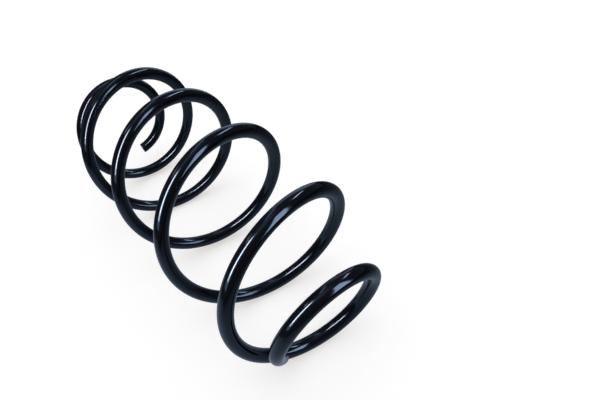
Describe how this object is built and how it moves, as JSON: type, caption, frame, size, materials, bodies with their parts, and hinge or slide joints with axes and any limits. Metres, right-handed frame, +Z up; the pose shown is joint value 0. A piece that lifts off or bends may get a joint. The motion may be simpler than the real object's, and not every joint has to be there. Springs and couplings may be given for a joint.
{
  "type": "suspension spring",
  "caption": "Painted steel coil spring for a car's front suspension, with open, tapered end coils set off to one side, lying on its side.",
  "frame": {"origin": "on the floor, under the middle of the spring's box, as it lies on its side", "axes": "+X along the coil axis, from the low end coil to the high one; +Z up; the axis slopes up 0.8 degrees towards +X, as the spring comes to rest"},
  "size_m": [0.4008, 0.1588, 0.1603],
  "materials": {
    "black_paint": "gloss blue-black paint"
  },
  "bodies": {
    "root": {"coil_spring": "black_paint"}
  },
  "joints": []
}
